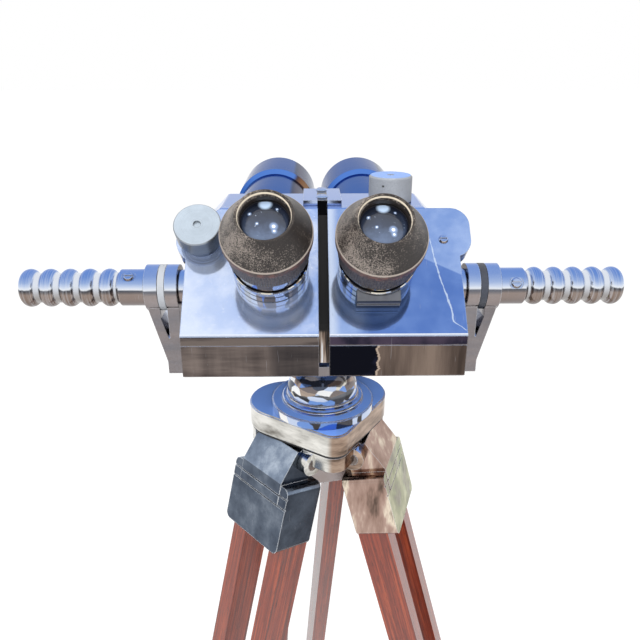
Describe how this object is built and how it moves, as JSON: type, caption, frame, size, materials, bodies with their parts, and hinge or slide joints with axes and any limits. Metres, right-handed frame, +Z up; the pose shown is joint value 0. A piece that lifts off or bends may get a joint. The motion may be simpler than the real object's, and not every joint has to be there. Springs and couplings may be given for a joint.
{
  "type": "tripod-mounted observation binoculars",
  "caption": "Large observation binoculars with 45 degree eyepieces and ribbed side handles, tilting in a U-yoke on a wooden-legged folding tripod",
  "frame": {"origin": "on the ground, at the middle of the stand's footprint box", "axes": "+Z up, +Y the way the objectives look, +X to the right of the observer"},
  "size_m": [0.6418, 0.6102, 1.4101],
  "materials": {
    "polished_metal": "mirror polished",
    "polished_castings": "mirror polished, fine hazy scratches",
    "satin_aluminium": "turned satin",
    "cast_knob": "fine cast grey",
    "steel": "satin",
    "black_fibre": "matt",
    "gunmetal": "worn dark satin",
    "black_brown_enamel": "pebbled and worn",
    "brass": "machined",
    "optical_glass": "clear, coated",
    "mahogany": "varnished"
  },
  "bodies": {
    "tripod_head": {"head_plate": "polished_metal", "head_gasket": "black_fibre", "leg_plate": "polished_metal", "azimuth_spindle": "steel", "leg_bolts": "steel"},
    "azimuth_head": {"pedestal": "polished_metal", "yoke": "polished_metal"},
    "binocular_body": {"left_prism_housing": "polished_castings", "right_prism_housing": "polished_castings", "left_prism_cover": "polished_castings", "right_prism_cover": "polished_castings", "bridge_casting": "polished_castings", "body_screws": "polished_metal", "left_objective_tube": "polished_metal", "right_objective_tube": "polished_metal", "left_sunshade": "polished_metal", "right_sunshade": "polished_metal", "objective_lenses": "optical_glass", "trunnions": "steel", "friction_washers": "black_fibre", "left_handle_socket": "polished_metal", "right_handle_socket": "polished_metal", "left_grip": "satin_aluminium", "right_grip": "satin_aluminium", "erecting_prisms": "optical_glass"},
    "left_eyepiece": {"left_prism_carrier": "brass", "left_rhomboid_prism": "optical_glass", "left_eyepiece_base": "polished_metal"},
    "right_eyepiece": {"right_prism_carrier": "brass", "right_rhomboid_prism": "optical_glass", "right_eyepiece_base": "polished_metal", "scale_block": "black_fibre"},
    "left_lens_slide": {"left_lens_cell": "black_brown_enamel", "left_eye_lens": "optical_glass"},
    "right_lens_slide": {"right_lens_cell": "black_brown_enamel", "right_eye_lens": "optical_glass"},
    "left_focus": {"left_focus_ring": "gunmetal", "left_eyecup": "black_brown_enamel"},
    "right_focus": {"right_focus_ring": "gunmetal", "right_eyecup": "black_brown_enamel"},
    "eye_distance_knob": {"ipd_knob": "satin_aluminium"},
    "filter_knob_body": {"filter_knob": "cast_knob"},
    "rear_leg": {"rear_leg_bracket": "polished_castings", "rear_leg_rails": "mahogany", "rear_leg_collar": "polished_castings"},
    "rear_clamp": {"rear_leg_screw": "steel"},
    "rear_lower_leg": {"rear_leg_slat": "mahogany", "rear_leg_shoe": "polished_castings"},
    "left_leg": {"left_leg_bracket": "polished_castings", "left_leg_rails": "mahogany", "left_leg_collar": "polished_castings"},
    "left_clamp": {"left_leg_screw": "steel"},
    "left_lower_leg": {"left_leg_slat": "mahogany", "left_leg_shoe": "polished_castings"},
    "right_leg": {"right_leg_bracket": "polished_castings", "right_leg_rails": "mahogany", "right_leg_collar": "polished_castings"},
    "right_clamp": {"right_leg_screw": "steel"},
    "right_lower_leg": {"right_leg_slat": "mahogany", "right_leg_shoe": "polished_castings"}
  },
  "joints": [
    {"name": "azimuth", "type": "hinge", "parent": "tripod_head", "child": "azimuth_head", "pos_m": [-0.036, -0.05926, 1.2269], "axis": [0, 0, 1], "continuous": true},
    {"name": "elevation", "type": "hinge", "parent": "azimuth_head", "child": "binocular_body", "pos_m": [-0.036, -0.05926, 1.3259], "axis": [1, 0, 0], "range_deg": [-20, 25]},
    {"name": "left_eye_swing", "type": "hinge", "parent": "binocular_body", "child": "left_eyepiece", "pos_m": [-0.083, -0.10945, 1.3259], "axis": [0, -0.7071, 0.7071], "range_deg": [-11, 2]},
    {"name": "left_lens_travel", "type": "slide", "parent": "left_eyepiece", "child": "left_lens_slide", "axis": [0, -0.7071, 0.7071], "range_m": [-0.0055, 0.0015]},
    {"name": "left_focus_turn", "type": "hinge", "parent": "left_lens_slide", "child": "left_focus", "pos_m": [-0.072, -0.13166, 1.39421], "axis": [0, -0.7071, 0.7071], "range_deg": [-206.25, 56.25]},
    {"name": "right_eye_swing", "type": "hinge", "parent": "binocular_body", "child": "right_eyepiece", "pos_m": [0.011, -0.10945, 1.3259], "axis": [0, -0.7071, 0.7071], "range_deg": [-2, 11]},
    {"name": "right_lens_travel", "type": "slide", "parent": "right_eyepiece", "child": "right_lens_slide", "axis": [0, -0.7071, 0.7071], "range_m": [-0.001, 0.006]},
    {"name": "right_focus_turn", "type": "hinge", "parent": "right_lens_slide", "child": "right_focus", "pos_m": [0, -0.13166, 1.39421], "axis": [0, -0.7071, 0.7071], "range_deg": [-37.5, 225]},
    {"name": "eye_distance_turn", "type": "hinge", "parent": "binocular_body", "child": "eye_distance_knob", "pos_m": [-0.1205, -0.07085, 1.36451], "axis": [0, -0.7071, 0.7071], "range_deg": [-10, 55]},
    {"name": "filter_turn", "type": "hinge", "parent": "binocular_body", "child": "filter_knob_body", "pos_m": [0.015, -0.02726, 1.3829], "axis": [0, 0, 1], "range_deg": [0, 270]},
    {"name": "rear_leg_spread", "type": "hinge", "parent": "tripod_head", "child": "rear_leg", "pos_m": [-0.04234, -0.02942, 1.1949], "axis": [0.9781, 0.2079, 0], "range_deg": [-10, 0]},
    {"name": "rear_leg_extend", "type": "slide", "parent": "rear_leg", "child": "rear_lower_leg", "axis": [-0.0556, 0.2614, -0.9636], "range_m": [0, 0.38]},
    {"name": "rear_clamp_turn", "type": "hinge", "parent": "rear_leg", "child": "rear_clamp", "pos_m": [-0.10225, 0.25241, 0.2682], "axis": [-0.2004, 0.9426, 0.2672], "range_deg": [0, 270]},
    {"name": "left_leg_spread", "type": "hinge", "parent": "tripod_head", "child": "left_leg", "pos_m": [-0.06469, -0.07298, 1.1949], "axis": [-0.6691, 0.7431, 0], "range_deg": [-10, 0]},
    {"name": "left_leg_extend", "type": "slide", "parent": "left_leg", "child": "left_lower_leg", "axis": [-0.1986, -0.1788, -0.9636], "range_m": [0, 0.38]},
    {"name": "left_clamp_turn", "type": "hinge", "parent": "left_leg", "child": "left_clamp", "pos_m": [-0.27881, -0.26577, 0.2682], "axis": [-0.7161, -0.6448, 0.2672], "range_deg": [0, 270]},
    {"name": "right_leg_spread", "type": "hinge", "parent": "tripod_head", "child": "right_leg", "pos_m": [-0.00421, -0.06012, 1.1949], "axis": [-0.309, -0.9511, 0], "range_deg": [-10, 0]},
    {"name": "right_leg_extend", "type": "slide", "parent": "right_leg", "child": "right_lower_leg", "axis": [0.2542, -0.0826, -0.9636], "range_m": [0, 0.38]},
    {"name": "right_clamp_turn", "type": "hinge", "parent": "right_leg", "child": "right_clamp", "pos_m": [0.26982, -0.14916, 0.2682], "axis": [0.9165, -0.2978, 0.2672], "range_deg": [0, 270]}
  ],
  "couplings": [
    {"joint": "right_eye_swing", "follows": "left_eye_swing", "ratio": -1},
    {"joint": "eye_distance_turn", "follows": "left_eye_swing", "ratio": -5},
    {"joint": "left_lens_travel", "follows": "left_focus_turn", "m_per_rad": 0.0015279},
    {"joint": "right_lens_travel", "follows": "right_focus_turn", "m_per_rad": 0.0015279}
  ]
}
